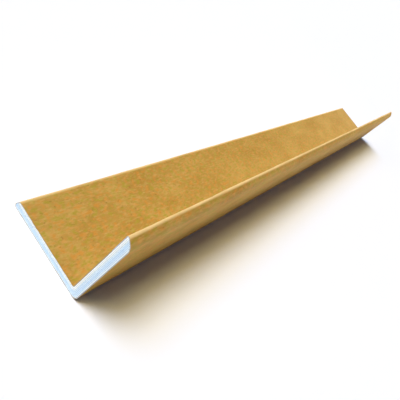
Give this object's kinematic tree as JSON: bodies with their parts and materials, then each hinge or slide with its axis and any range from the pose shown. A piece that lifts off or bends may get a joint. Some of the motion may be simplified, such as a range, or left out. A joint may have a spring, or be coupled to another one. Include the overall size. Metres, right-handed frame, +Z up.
{
  "type": "pallet edge protector",
  "caption": "Right-angled edge protector of laminated paperboard: a white core wrapped in brown kraft paper, set over a pallet load's edge under the strapping.",
  "frame": {"origin": "middle of the bounding box on the floor, under the flat leg", "axes": "+Z up; +Y along the length; +X across the flat leg, towards the heel and the upright leg"},
  "size_m": [0.05, 0.5, 0.05],
  "materials": {
    "ply_board": "matte white board, saw-cut across its plies at both ends",
    "kraft_wrap": "matte golden-brown kraft paper with a faint calendered sheen",
    "kraft_liner": "matte golden-brown kraft paper with a faint calendered sheen"
  },
  "bodies": {
    "root": {"core_board": "ply_board", "outer_wrap": "kraft_wrap", "inner_liner": "kraft_liner"}
  },
  "joints": []
}
